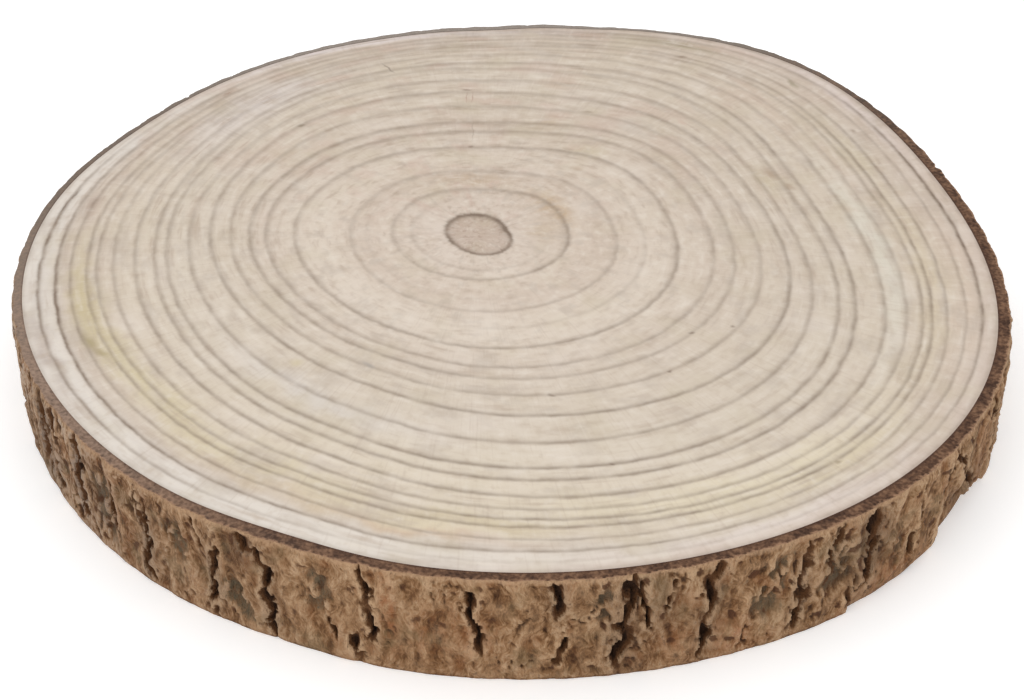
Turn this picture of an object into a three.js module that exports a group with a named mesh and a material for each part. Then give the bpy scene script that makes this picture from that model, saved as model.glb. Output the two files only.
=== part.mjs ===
// A thick round slice sawn across a tree trunk, with its bark on, lying flat on one of its two cut faces.
// +Z is up, and a direction round the slice is in degrees, 0 towards +X and 90 towards +Y.
import * as THREE from 'three';
import { mergeVertices } from 'three/addons/utils/BufferGeometryUtils.js';

// Driving sizes, in millimetres
const THICKNESS = 37;
const WOOD_RADIUS = 155.1;
const BARK_THICKNESS = 4.1;
const BARK_LEAST_LEFT = 0.8;

// The slice's middle, moved so that the origin is under the middle of its box
const MIDDLE = { x: 1.92, y: 0.39 };

// Where the trunk swells out or draws in under the bark: the direction, the spread in degrees, the rise in mm
const TRUNK_SWELLS = [
  { at: 52, spread: 18, rise: 10.2 },
  { at: 93, spread: 5, rise: -2.2 },
  { at: 150, spread: 9, rise: -1.8 },
  { at: 183, spread: 29, rise: 3.8 },
  { at: 246, spread: 7, rise: -1.8 },
  { at: 321, spread: 25, rise: 4.5 },
  { at: 16, spread: 22, rise: -5.1 },
];

// The bark is thickest on the right and thinner round the back, with two thicker plates in front
const BARK_SWELLS = [
  { at: 0, spread: 55, rise: 0.9 },
  { at: 62, spread: 16, rise: -1.1 },
  { at: 145, spread: 38, rise: -1.6 },
  { at: 246, spread: 9, rise: 0.9 },
  { at: 311, spread: 8, rise: 0.9 },
];

// Fissures of the front: direction, lowest and highest point, how far the top leans to the left,
// width and depth, all but the direction in mm
const FRONT_FISSURES = [
  { at: 202.5, low: 2, high: 14, lean: 3, width: 4, depth: 2.2 },
  { at: 208.5, low: 5, high: 37, lean: 3, width: 3.4, depth: 2.8 },
  { at: 211.6, low: 5, high: 20, lean: 1, width: 3, depth: 2.2 },
  { at: 211.8, low: 26, high: 36, lean: 0, width: 4, depth: 2.4 },
  { at: 217.5, low: 6, high: 36, lean: 1, width: 2.6, depth: 2.8 },
  { at: 223.6, low: 8, high: 31, lean: -1, width: 2.4, depth: 2 },
  { at: 227.4, low: 27, high: 38, lean: 1, width: 2.6, depth: 2.4 },
  { at: 229.2, low: 3, high: 29, lean: 1, width: 3.6, depth: 3 },
  { at: 236.4, low: 25, high: 36, lean: 1, width: 2.2, depth: 2.4 },
  { at: 238.1, low: 6, high: 29, lean: -3, width: 2.6, depth: 2.8 },
  { at: 238.2, low: -2, high: 7, lean: -4, width: 3, depth: 2.6 },
  { at: 241.9, low: 28, high: 38, lean: 0, width: 4, depth: 2.2 },
  { at: 244.4, low: -2, high: 33, lean: 5.4, width: 2.4, depth: 3 },
  { at: 251.6, low: 8, high: 18, lean: 1, width: 2, depth: 2 },
  { at: 255.4, low: 10, high: 37, lean: 2.6, width: 2.6, depth: 3 },
  { at: 254.3, low: -2, high: 10, lean: 0, width: 2.4, depth: 2.8 },
  { at: 266, low: 10, high: 34, lean: 4, width: 2.6, depth: 2.8 },
  { at: 274.3, low: 23, high: 37, lean: 0, width: 2.8, depth: 2.8 },
  { at: 274.8, low: 5, high: 24, lean: -5, width: 1.6, depth: 2.2 },
  { at: 280.6, low: -2, high: 38, lean: -4, width: 3.4, depth: 3.2 },
  { at: 282.7, low: 15, high: 35, lean: 4.6, width: 2.4, depth: 2.6 },
  { at: 285.4, low: 22, high: 34, lean: 0, width: 2.4, depth: 2.2 },
  { at: 289.1, low: 3, high: 36, lean: -3.4, width: 3, depth: 3 },
  { at: 299.3, low: 3, high: 34, lean: -2.6, width: 2.6, depth: 2.6 },
  { at: 302.8, low: 13, high: 35, lean: -4, width: 2.4, depth: 2.2 },
  { at: 305.6, low: -2, high: 13, lean: 1, width: 2, depth: 3.2 },
  { at: 307.7, low: 10, high: 37, lean: -3, width: 4, depth: 3.2 },
  { at: 314.6, low: 8, high: 33, lean: -1, width: 2.2, depth: 2.2 },
  { at: 324.4, low: 5, high: 38, lean: 22, width: 3, depth: 3.2 },
  { at: 333, low: 8, high: 33, lean: 2, width: 2.4, depth: 2.6 },
];

// Shallow scars where a plate of the outer bark has flaked off
const SCARS = [
  { at: 222, low: 6, high: 29, lean: 2, width: 7, depth: 1.3 },
  { at: 233, low: 17, high: 30, lean: 1, width: 6.5, depth: 1.1 },
  { at: 241, low: 4, high: 17, lean: 5, width: 5, depth: 1.8 },
  { at: 250.3, low: 17, high: 31, lean: 0, width: 6, depth: 1.2 },
  { at: 278.3, low: 20, high: 33, lean: 0, width: 3.4, depth: 1.4 },
  { at: 295.8, low: 12, high: 32, lean: -3, width: 8, depth: 1.5 },
  { at: 303.4, low: 13, high: 30, lean: -3, width: 9, depth: 1.4 },
  { at: 311.8, low: 9, high: 19, lean: -1, width: 4, depth: 1.3 },
];

// Bark broken away at the lower corner: between two directions, from the underside up to a height,
// thinning over the bevel's height
const BREAKS = [
  { from: 305.6, to: 319.3, top: 9, bevel: 9, depth: 1.8 },
  { from: 319.3, to: 326, top: 21, bevel: 13, depth: 4.2 },
  { from: 326, to: 333, top: 9, bevel: 2, depth: 4.2 },
];

// The other fissures, out of the first ones' reach, are drawn by chance between these limits
const FISSURES_ROUND_THE_BACK = 34;
const BACK_FROM = 340;
const BACK_DEGREES = 225;
const BACK_LIMITS = { least: 9, most: 34, past: 3, lean: 4, thin: 1.8, wide: 4, shallow: 1.6, deep: 3.2 };
const BACK_JITTER = 0.4;
const SEED = 7;
const DRAW_FACTOR = 16807;
const DRAW_RANGE = 2147483647;

// Plates of bark between the fissures: how many, how far they stand out, and how they wander as they climb,
// in radians of their own wave
const PLATES = 80;
const PLATE_RELIEF = 0.45;
const PLATE_WANDER = 1.3;
const PLATE_WANDER_LENGTH = 29;
const PLATE_WANDER_WAVES = 5;

// How a fissure's line wanders, and over what height its ends close
const FISSURE_WANDER = 0.7;
const FISSURE_WANDER_LENGTH = 13;
const FISSURE_END = 4;

// The saw leaves both outer corners a little worn, and near them the bark is rubbed down, which leaves
// only a share of its fissures and plates
const CORNER_WEAR = 0.5;
const CORNER_HEIGHT = 1.6;
const RUBBED_SHARE = 0.35;
const RUBBED_HEIGHT = 4;

// The grid of the bark: columns round the slice and rows up its side
const COLUMNS = 480;
const ROWS = 11;
const SAME_POINT = 1e-3;

const MM_PER_DEGREE = (WOOD_RADIUS + BARK_THICKNESS) * Math.PI / 180;

// The shortest way from one direction to another, in degrees
function turnBetween(direction, at) {
  return ((direction - at) % 360 + 540) % 360 - 180;
}

// A smooth hump, 1 in its middle
function hump(distance, spread) {
  return Math.exp(-0.5 * (distance / spread) ** 2);
}

// 0 below one height and 1 above another, with a smooth way between
function rise(value, from, to) {
  return THREE.MathUtils.smoothstep(value, from, to);
}

function swell(direction, swells) {
  return swells.reduce((sum, s) => sum + s.rise * hump(turnBetween(direction, s.at), s.spread), 0);
}

// Chance draws, the same each time
function makeDraw(seed) {
  let state = seed;
  return (low, high) => {
    state = (state * DRAW_FACTOR) % DRAW_RANGE;
    return low + (high - low) * state / DRAW_RANGE;
  };
}

function fissuresRoundTheBack() {
  const draw = makeDraw(SEED);
  const limits = BACK_LIMITS;
  const step = BACK_DEGREES / FISSURES_ROUND_THE_BACK;
  return Array.from({ length: FISSURES_ROUND_THE_BACK }, (_, i) => {
    const at = (BACK_FROM + step * (i + draw(-BACK_JITTER, BACK_JITTER))) % 360;
    const length = draw(limits.least, limits.most);
    const low = draw(-limits.past, THICKNESS + limits.past - length);
    return {
      at,
      low,
      high: low + length,
      lean: draw(-limits.lean, limits.lean),
      width: draw(limits.thin, limits.wide),
      depth: draw(limits.shallow, limits.deep),
    };
  });
}

// How deep one fissure or scar is at a point of the bark
function cutDepth(direction, height, cut) {
  const up = (height - (cut.low + cut.high) / 2) / (cut.high - cut.low);
  const wave = FISSURE_WANDER * Math.sin(2 * Math.PI * height / FISSURE_WANDER_LENGTH + cut.at);
  const across = turnBetween(direction, cut.at) * MM_PER_DEGREE + cut.lean * up + wave;
  const ends = rise(height, cut.low - FISSURE_END, cut.low + FISSURE_END)
    * (1 - rise(height, cut.high - FISSURE_END, cut.high + FISSURE_END));
  return cut.depth * ends * hump(across, cut.width / 2);
}

function breakDepth(direction, height, gap) {
  const inside = turnBetween(direction, gap.from) >= 0 && turnBetween(direction, gap.to) < 0;
  return inside ? gap.depth * (1 - rise(height, gap.top - gap.bevel, gap.top)) : 0;
}

// How far the bark's plates stand out or dip, by a wave that wanders as it climbs
function plateRelief(direction, height) {
  const turn = THREE.MathUtils.degToRad(direction);
  const climb = 2 * Math.PI * height / PLATE_WANDER_LENGTH;
  const wander = PLATE_WANDER * Math.sin(climb + PLATE_WANDER_WAVES * turn);
  return PLATE_RELIEF * Math.cos(PLATES * turn + wander);
}

const CUTS = [...FRONT_FISSURES, ...SCARS, ...fissuresRoundTheBack()];

// The bark's surface: its distance from the middle of the slice
function barkRadius(direction, height) {
  const wood = WOOD_RADIUS + swell(direction, TRUNK_SWELLS);
  const bark = BARK_THICKNESS + swell(direction, BARK_SWELLS);
  const cut = Math.max(...CUTS.map((c) => cutDepth(direction, height, c)));
  const broken = Math.max(...BREAKS.map((b) => breakDepth(direction, height, b)));
  const nearestFace = Math.min(height, THICKNESS - height);
  const wear = CORNER_WEAR * (1 - rise(nearestFace, 0, CORNER_HEIGHT));
  const left = RUBBED_SHARE + (1 - RUBBED_SHARE) * rise(nearestFace, 0, RUBBED_HEIGHT);
  const relief = left * plateRelief(direction, height) - Math.max(left * cut, broken) - wear;
  return wood + Math.max(BARK_LEAST_LEFT, bark + relief);
}

// A drum between the two saw cuts, its side pushed out and in to the bark's surface
function makeSlice() {
  const drum = new THREE.CylinderGeometry(1, 1, THICKNESS, COLUMNS, ROWS);
  drum.rotateX(Math.PI / 2);
  drum.translate(0, 0, THICKNESS / 2);
  const points = drum.attributes.position;
  for (let i = 0; i < points.count; i += 1) {
    const onSide = Math.hypot(points.getX(i), points.getY(i)) > SAME_POINT;
    const column = Math.round(Math.atan2(points.getY(i), points.getX(i)) * COLUMNS / (2 * Math.PI));
    const angle = column * 2 * Math.PI / COLUMNS;
    const height = points.getZ(i);
    const radius = onSide ? barkRadius(THREE.MathUtils.radToDeg(angle), height) : 0;
    points.setXYZ(i, MIDDLE.x + radius * Math.cos(angle), MIDDLE.y + radius * Math.sin(angle), height);
  }
  drum.deleteAttribute('normal');
  drum.deleteAttribute('uv');
  const solid = mergeVertices(drum, SAME_POINT);
  solid.computeVertexNormals();
  return solid;
}

const paleWood = new THREE.MeshStandardMaterial({ color: 0xdccdb9, roughness: 0.75, metalness: 0 });
const slice = new THREE.Mesh(makeSlice(), paleWood);
slice.name = 'wood_slice';

const group = new THREE.Group();
group.add(slice);
export default group;
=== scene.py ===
import math

import bmesh
import bpy
import numpy as np
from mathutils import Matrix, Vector, noise


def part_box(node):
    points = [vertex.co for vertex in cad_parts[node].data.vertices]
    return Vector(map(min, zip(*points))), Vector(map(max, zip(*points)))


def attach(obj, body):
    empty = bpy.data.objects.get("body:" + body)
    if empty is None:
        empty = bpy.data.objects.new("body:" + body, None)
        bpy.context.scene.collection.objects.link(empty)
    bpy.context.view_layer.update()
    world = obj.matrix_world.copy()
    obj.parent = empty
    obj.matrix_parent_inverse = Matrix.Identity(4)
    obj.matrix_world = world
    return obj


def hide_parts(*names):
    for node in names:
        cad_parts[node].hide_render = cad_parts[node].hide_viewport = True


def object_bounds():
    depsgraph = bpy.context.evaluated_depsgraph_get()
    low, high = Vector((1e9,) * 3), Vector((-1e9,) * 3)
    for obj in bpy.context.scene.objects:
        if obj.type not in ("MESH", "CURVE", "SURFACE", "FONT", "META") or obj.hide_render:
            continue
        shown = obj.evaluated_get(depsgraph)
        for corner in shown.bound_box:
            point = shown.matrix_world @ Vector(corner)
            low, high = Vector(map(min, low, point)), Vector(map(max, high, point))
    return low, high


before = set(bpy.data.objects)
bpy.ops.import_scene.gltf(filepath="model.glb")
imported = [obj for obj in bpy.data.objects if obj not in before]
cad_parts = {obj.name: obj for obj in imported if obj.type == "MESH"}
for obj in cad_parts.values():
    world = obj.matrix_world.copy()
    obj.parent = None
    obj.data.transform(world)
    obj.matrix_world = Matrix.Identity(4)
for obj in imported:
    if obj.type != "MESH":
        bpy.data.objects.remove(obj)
cad_low, cad_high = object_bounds()

# Camera: it looks down at the slice from straight in front, far enough off that the round rim
# closes only a little towards the back, and so near that the slice fills the picture's width.
MM = 0.001
AIM_X = 1.3
AIM_Y = -56.3
CAMERA_DISTANCE = 612.5
CAMERA_ELEVATION = math.radians(36.5)
LENS = 70.3

bpy.ops.object.select_all(action="DESELECT")
aim = Vector((AIM_X * MM, AIM_Y * MM, cad_high.z))
away = Vector((0, -math.cos(CAMERA_ELEVATION), math.sin(CAMERA_ELEVATION)))
bpy.ops.object.camera_add(
    location=aim + CAMERA_DISTANCE * MM * away, rotation=(math.pi / 2 - CAMERA_ELEVATION, 0, 0)
)
camera = bpy.context.object
camera.data.lens = LENS
bpy.context.scene.camera = camera

# The slice: one round sawn across a tree trunk, solid wood with rough bark still round its side.
# It is modelled as a true drum with a loop for each year's ring, and then the loops and the side
# are moved to where the tree grew. Sizes are in mm and directions in degrees, the front at 270.
low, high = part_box("wood_slice")
THICKNESS = (high.z - low.z) / MM
WOOD_RADIUS = 155.1
BARK_THICKNESS = 4.1
BARK_LEAST_LEFT = 0.8
BARK_RADIUS = WOOD_RADIUS + BARK_THICKNESS
MM_PER_DEGREE = math.radians(BARK_RADIUS)
MIDDLE = np.array((1.92, 0.39))
PITH = np.array((-9.8, 8.7))

# Two places nearer than this count as one
NEAR = 0.01

# Where the trunk swells out or draws in, and its bark with it: direction, spread, rise
TRUNK_SWELLS = (
    (52, 18, 10.2), (93, 5, -2.2), (150, 9, -1.8), (183, 29, 3.8),
    (246, 7, -1.8), (321, 25, 4.5), (16, 22, -5.1), (80, 4, -1.3), (107, 6, -0.8),
)
BARK_SWELLS = (
    (0, 55, 0.9), (42, 9, -1.2), (71, 9, -1.9), (145, 38, -1.6), (246, 9, 0.9), (311, 8, 0.9),
)
SAPWOOD_SWELLS = ((295, 45, 0.75), (5, 30, 0.4), (48, 12, 0.4))

# Growth rings as shares of the way from the pith to the bark: how dark the line is that closes
# the year, in steps of 255, how much darker it gets towards its strongest direction, and that
# direction from the pith
RINGS = (
    (0.072, 53, 7, 70), (0.144, 6, 7, 225), (0.184, 22, 7, 5), (0.243, 3, 3, 210),
    (0.279, 16, 2, 45), (0.335, 4, 7, 345), (0.398, 25, 5, 310), (0.465, 21, 2, 185),
    (0.504, 22, 3, 175), (0.559, 19, 3, 275), (0.615, 25, 5, 295), (0.671, 20, 6, 280),
    (0.727, 23, 10, 280), (0.757, 26, 8, 305), (0.804, 23, 8, 270), (0.841, 18, 8, 270),
    (0.869, 22, 9, 285), (0.888, 23, 8, 275), (0.918, 19, 6, 215), (0.948, 23, 8, 235),
    (0.976, 19, 5, 330), (1.0, 20, 4, 0),
)

# Where a line is darker than that: share, direction, spread and how much
DARKER_LINES = (
    (0.976, 183, 16, 30), (0.976, 225, 14, 14), (0.976, 4, 20, 28), (0.976, 285, 32, -15),
    (0.976, 118, 26, -13), (0.948, 206, 20, 20), (0.918, 12, 22, 14), (0.888, 8, 20, 10),
)

# How the trunk's section changed as it grew: share, then by how much the rings stand off their
# round course to one side, in an oval and in three corners, each with a direction
GROWTH = (
    (0.07, 0.006, 162, 0.010, 120, 0.000, 11), (0.18, 0.019, 122, 0.007, 157, 0.004, 11),
    (0.28, 0.011, 153, 0.010, 150, 0.006, 17), (0.40, 0.012, 145, 0.017, 153, 0.009, 28),
    (0.50, 0.020, 103, 0.023, 149, 0.008, 30), (0.56, 0.033, 97, 0.028, 136, 0.004, 20),
    (0.615, 0.037, 93, 0.037, 129, 0.002, 0), (0.67, 0.028, 102, 0.040, 118, 0.003, 84),
    (0.74, 0.021, 104, 0.047, 111, 0.006, 80), (0.80, 0.023, 77, 0.043, 112, 0.006, 77),
    (0.87, 0.016, 72, 0.027, 114, 0.006, 75), (0.92, 0.009, 84, 0.020, 112, 0.004, 70),
    (0.95, 0.006, 60, 0.013, 112, 0.000, 70), (1.0, 0.000, 60, 0.000, 112, 0.000, 70),
)

# Fissures of the bark in front: direction, lowest and highest point, how far the top leans to
# the left, width and depth
FRONT_FISSURES = (
    (202.5, 2, 14, 3, 4, 2.2), (208.5, 5, 37, 3, 3.4, 2.8), (211.6, 5, 20, 1, 3, 2.2),
    (211.8, 26, 36, 0, 4, 2.4), (217.5, 6, 36, 1, 2.6, 2.8), (223.6, 8, 31, -1, 2.4, 2),
    (227.4, 27, 38, 1, 2.6, 2.4), (229.2, 3, 29, 1, 3.6, 3), (236.4, 25, 36, 1, 2.2, 2.4),
    (238.1, 6, 29, -3, 2.6, 2.8), (238.2, -2, 7, -4, 3, 2.6), (241.9, 28, 38, 0, 4, 2.2),
    (244.4, -2, 33, 5.4, 2.4, 3), (251.6, 8, 18, 1, 2, 2), (255.4, 10, 37, 2.6, 2.6, 3),
    (254.3, -2, 10, 0, 2.4, 2.8), (266, 10, 34, 4, 2.6, 2.8), (274.3, 23, 37, 0, 2.8, 2.8),
    (274.8, 5, 24, -5, 1.6, 2.2), (280.6, -2, 38, -4, 3.4, 3.2), (282.7, 15, 35, 4.6, 2.4, 2.6),
    (285.4, 22, 34, 0, 2.4, 2.2), (289.1, 3, 36, -3.4, 3, 3), (299.3, 3, 34, -2.6, 2.6, 2.6),
    (302.8, 13, 35, -4, 2.4, 2.2), (305.6, -2, 13, 1, 2, 3.2), (307.7, 10, 37, -3, 4, 3.2),
    (314.6, 8, 33, -1, 2.2, 2.2), (324.4, 5, 38, 22, 3, 3.2), (333, 8, 33, 2, 2.4, 2.6),
)

# Scars where a plate of the outer bark has flaked off, told as the fissures are
SCARS = (
    (222, 6, 29, 2, 7, 1.3), (233, 17, 30, 1, 6.5, 1.1), (241, 4, 17, 5, 5, 1.8),
    (250.3, 17, 31, 0, 6, 1.2), (278.3, 20, 33, 0, 3.4, 1.4), (295.8, 12, 32, -3, 8, 1.5),
    (303.4, 13, 30, -3, 9, 1.4), (311.8, 9, 19, -1, 4, 1.3),
)

# Bark broken away at the lower corner: from one direction to another, up to a height, thinning
# over the bevel's height, and how deep
BREAKS = ((305.6, 319.3, 9, 9, 1.8), (319.3, 326, 21, 13, 4.2), (326, 333, 9, 2, 4.2))

# The other fissures are drawn by chance, evenly spread but for a share of their spacing, within
# limits for their length, how far they run past the corners, their lean, width and depth
BACK_FISSURES = 34
BACK_FROM = 340
BACK_DEGREES = 225
BACK_JITTER = 0.4
SEED = 7
DRAW_FACTOR = 16807
DRAW_RANGE = 2147483647
LONG = (9, 34)
PAST = 3
MOST_LEAN = 4
WIDE = (1.8, 4)
DEEPEST = 3.2
DEEP = (1.6, DEEPEST)

# Upright plates lie between the fissures, as shallow waves that wander a little on their way up
PLATES = 80
PLATE_RELIEF = 0.45
PLATE_WANDER = 1.3
PLATE_WANDER_LENGTH = 29
PLATE_WANDER_WAVES = 5

# A fissure wanders too, fades out at its ends, and is slimmer than its outer lips are apart, with
# bark left bridging it in places
FISSURE_WANDER = 0.7
FISSURE_WANDER_LENGTH = 13
FISSURE_END = 4
FISSURE_SLIM = 0.62
FISSURE_SHARP = 1.4
FISSURE_CRUMBLED = 0.9
LIPS_APART = 1.8
LIP_SHARP = 2
SCAR_ASTRAY = 1.5
SCAR_SHARP = 4

# Heights and depths of the bark's small forms, and how wide its thin ridges and cracks are on the
# chance relief that they follow
LIP_HEIGHT = 0.3
RIDGE_HEIGHT = 0.4
RIDGE_WIDTH = 0.13
CRACK_DEPTH = 0.8
CRACK_WIDTH = 0.07
PIT_DEPTH = 0.5

# Where a form begins and where it is whole, on the value that it grows from. A third number is
# the least of it
WALL = (0.15, 0.6)
BRIDGE = (-0.4, 0.1, 0.25)
LIP = (0.4, 1.8)
LIP_CUT = (0.15, 0.7)
RIDGE_CUT = (0.2, 0.8)
FLAKED = (-0.5, 0)
BESIDE = (0.08, 0.8)
CRACKED = (-0.05, 0.3)
PITTED = (0.4, 0.6)

# The relief is rubbed down to a share at both corners, most at the lower one, and the corners
# themselves are worn away, each over a height
CORNER_RUBBED = (0, 2.6, 0.42)
LOWER_RUBBED = (0, 5, 0.2)
CORNER_WEAR = 0.5
CORNER_HEIGHT = 1.6

# Chance relief: how long its humps are round the trunk and up it, and how high. Each kind is
# drawn from a layer of its own, in this order
HUMPS = {
    "broad jag": (7, 16.1, 1.4), "jag": (2.6, 5.98, 1), "small jag": (1.4, 3.22, 0.7),
    "uneven width": (3, 4, 0.5), "bridge": (3, 7, 1), "ridge": (5, 17, 1), "small ridge": (2.4, 5, 0.25),
    "crack": (4.2, 12, 1), "small crack": (1.9, 3.5, 0.4), "cracked patch": (11, 15, 1),
    "pit": (2.4, 3, 1), "lump": (4, 10, 0.45), "small lump": (2, 2, 0.2), "grit": (1.2, 1.2, 0.12),
    "crumb": (1.6, 3.68, 1), "small crumb": (1.2, 1.2, 0.5), "flake": (4, 6, 1), "sway": (12, 14, 1.8),
    "loose lump": (1.6, 3.68, 0.5), "fibre": (1.9, 9, 0.3),
}
LAYERS_APART = Vector((17.3, 5.1, -9.7))

# How far a value is spread to its neighbours, in columns and rows
RIDGE_BLUR = 1
HOLLOW_SHADE_BLUR = 3
BESIDE_BLUR = 4
FISSURE_SHADE_BLUR = 5

# Where round the slice the bark is unlike the rest: direction, spread and share
WIDER_FISSURES = ((206, 14, 0.5),)
FEWER_CRACKS = ((248, 16, 0.45),)
SMOOTHER_BARK = ((168, 16, 0.6),)
GREY_BARK = ((192, 24, 1),)
EVEN_BARK = ((248, 20, 1),)
GREY_RIM = ((70, 20, 1), (128, 36, 1), (188, 14, 0.5))
PALE_RIM = ((207, 20, 1),)

# Ways from the pith where the wood's colours are unlike the rest, told the same way
WAYS = {"front left": (206, 48, 1), "back": (95, 50, 1), "right": (10, 38, 1)}

# Rusty stains of the bark, and dark patches of painted shade over the fissures: direction, height, how
# far they reach round and up, and how strong
RUSTY = (
    (257.5, 22, 0.5, 10, 1), (292, 8, 1.6, 6, 0.7), (310.5, 6, 2, 6, 0.8), (264, 18, 3, 9, 0.35),
    (224, 20, 1, 9, 0.4), (286, 9, 2, 5, 0.4), (330, 16, 2, 9, 0.4),
)
GROOVE_SHADES = (
    (241.9, 32, 1.4, 5, 1), (307.7, 24, 1.8, 11, 1), (208.4, 20, 1.5, 14, 0.9),
    (211.6, 14, 1, 8, 0.6), (217.4, 22, 0.8, 13, 0.7), (222.8, 19, 1.8, 9, 0.45),
    (229.2, 15, 1.1, 11, 0.7), (238, 18, 1, 10, 0.5), (244.8, 16, 0.9, 14, 0.4),
    (274.2, 30, 0.8, 6, 0.6), (280.6, 18, 1.6, 14, 0.7), (288.8, 14, 1.2, 10, 0.6),
    (303.5, 24, 1.6, 7, 0.6), (299.3, 20, 0.9, 12, 0.5), (326, 12, 2.5, 7, 0.6),
    (284.4, 24, 1.8, 10, 0.55), (290, 24, 1, 9, 0.5), (202.5, 9, 1.2, 10, 0.6),
    (220, 20, 1.2, 12, 0.5),
)

# The drum's loops: columns round the bark and round the sawn faces, rows up the side and across
# the sawn rim of the bark, the most room left between two loops of a face, and the share of the
# wood that a face's own loops reach
COLUMNS = 1440
FACE_COLUMNS = 240
SIDE_ROWS = 48
RIM_ROWS = 3
LOOP_GAP = 8
FACE_EDGE = 0.99


def pick_edges(wanted):
    """Selects the edges in edit mode whose two ends both pass the test."""
    bpy.ops.mesh.select_all(action="DESELECT")
    mesh = bmesh.from_edit_mesh(bpy.context.object.data)
    for edge in mesh.edges:
        if all(wanted(corner.co / MM) for corner in edge.verts):
            edge.select_set(True)
    bmesh.update_edit_mesh(bpy.context.object.data)


def extrude_to(radius, at):
    """Extrudes the picked loops flat to another radius."""
    bpy.ops.mesh.extrude_edges_move()
    bpy.ops.transform.resize(value=(radius / at, radius / at, 1), center_override=(0, 0, 0))


def face_loops():
    """The shares where a sawn face has a loop: every ring's line, and between two far apart."""
    shares = [RINGS[0][0] / 2, RINGS[0][0]]
    for share, *_ in RINGS[1:]:
        end = min(share, FACE_EDGE)
        parts = math.ceil((end - shares[-1]) * WOOD_RADIUS / LOOP_GAP)
        shares += list(np.linspace(shares[-1], end, parts + 1)[1:])
    return shares


bpy.ops.object.select_all(action="DESELECT")
bpy.ops.mesh.primitive_cylinder_add(
    vertices=COLUMNS, radius=BARK_RADIUS * MM, depth=THICKNESS * MM,
    end_fill_type="NOTHING", location=(0, 0, THICKNESS / 2 * MM), calc_uvs=False,
)
slice_piece = bpy.context.object
slice_piece.name = "sawn_slice"
bpy.ops.object.transform_apply()
bpy.ops.object.mode_set(mode="EDIT")
bpy.ops.mesh.select_mode(type="EDGE")
bpy.ops.mesh.select_all(action="DESELECT")
blank = bmesh.from_edit_mesh(slice_piece.data)
for edge in blank.edges:
    edge.select_set(not edge.is_boundary)
bmesh.update_edit_mesh(slice_piece.data)
bpy.ops.mesh.subdivide(number_cuts=SIDE_ROWS - 1)

# The sawn rim of the bark is extruded in from the side's two corners
pick_edges(lambda place: min(place.z, THICKNESS - place.z) < NEAR)
radii = np.linspace(BARK_RADIUS, WOOD_RADIUS, RIM_ROWS + 1)
for at, radius in zip(radii, radii[1:]):
    extrude_to(radius, at)

# The wood of both faces grows out from the pith, a loop at a time, and is bridged to the bark
loops = face_loops()
first_radius = loops[0] * WOOD_RADIUS
for face_height in (0, THICKNESS):
    bpy.ops.mesh.primitive_circle_add(
        vertices=FACE_COLUMNS, radius=first_radius * MM,
        fill_type="TRIFAN", location=(0, 0, face_height * MM), calc_uvs=False,
    )
pick_edges(lambda place: abs(place.xy.length - first_radius) < NEAR)
for at, share in zip(loops, loops[1:]):
    extrude_to(share, at)
for face_height in (0, THICKNESS):
    pick_edges(
        lambda place: abs(place.z - face_height) < NEAR
        and FACE_EDGE * WOOD_RADIUS - NEAR < place.xy.length < WOOD_RADIUS + NEAR
    )
    bpy.ops.mesh.bridge_edge_loops()
bpy.ops.mesh.select_all(action="SELECT")
bpy.ops.mesh.normals_make_consistent(inside=False)
bpy.ops.object.mode_set(mode="OBJECT")


def turn_between(direction, at):
    """The shortest way round from one direction to another."""
    return ((direction - at) % 360 + 540) % 360 - 180


def around(direction):
    """A direction as a step of one, across and along the table."""
    return np.stack((np.cos(np.radians(direction)), np.sin(np.radians(direction))), axis=-1)


def hump(distance, spread):
    """1 at nought, and dying away over a spread on both sides."""
    return np.exp(-0.5 * (distance / spread) ** 2)


def crest(field, width):
    """1 along the winding lines where a chance field passes nought, and a width across."""
    return np.exp(-((field / width) ** 2))


def rise(value, start, end, least=0):
    """The least below one value and 1 above another, with a smooth way between."""
    share = np.clip((value - start) / (end - start), 0, 1)
    return least + (1 - least) * share * share * (3 - 2 * share)


def swell(direction, swells):
    """How far a round thing swells out in a direction."""
    return sum(lift * hump(turn_between(direction, at), spread) for at, spread, lift in swells)


# The bark's surface is worked out row by row over the whole side, each place by the direction
# that it faces and its level above the table
facing, level = np.meshgrid(
    np.arange(COLUMNS) * 360 / COLUMNS, np.linspace(0, THICKNESS, SIDE_ROWS + 1)
)
facing = facing.ravel()
level = level.ravel()
skin = np.column_stack((BARK_RADIUS * around(facing), level))


def rough(kind, places=skin):
    """Smooth chance relief of a kind, from about its height below nought to as much above."""
    long_round, long_up, high_up = HUMPS[kind]
    shift = list(HUMPS).index(kind) * LAYERS_APART
    size = np.array((long_round, long_round, long_up))
    return high_up * np.array([noise.noise(Vector(place) + shift) for place in places / size])


def fissures_round_the_back():
    """Fissures drawn by chance, told as those in front are."""
    state = SEED
    found = []

    def draw(least, most):
        nonlocal state
        state = state * DRAW_FACTOR % DRAW_RANGE
        return least + (most - least) * state / DRAW_RANGE

    for i in range(BACK_FISSURES):
        step = BACK_DEGREES / BACK_FISSURES * (i + draw(-BACK_JITTER, BACK_JITTER))
        length = draw(*LONG)
        start = draw(-PAST, THICKNESS + PAST - length)
        lean = draw(-MOST_LEAN, MOST_LEAN)
        found.append(((BACK_FROM + step) % 360, start, start + length, lean, draw(*WIDE), draw(*DEEP)))
    return tuple(found)


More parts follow.
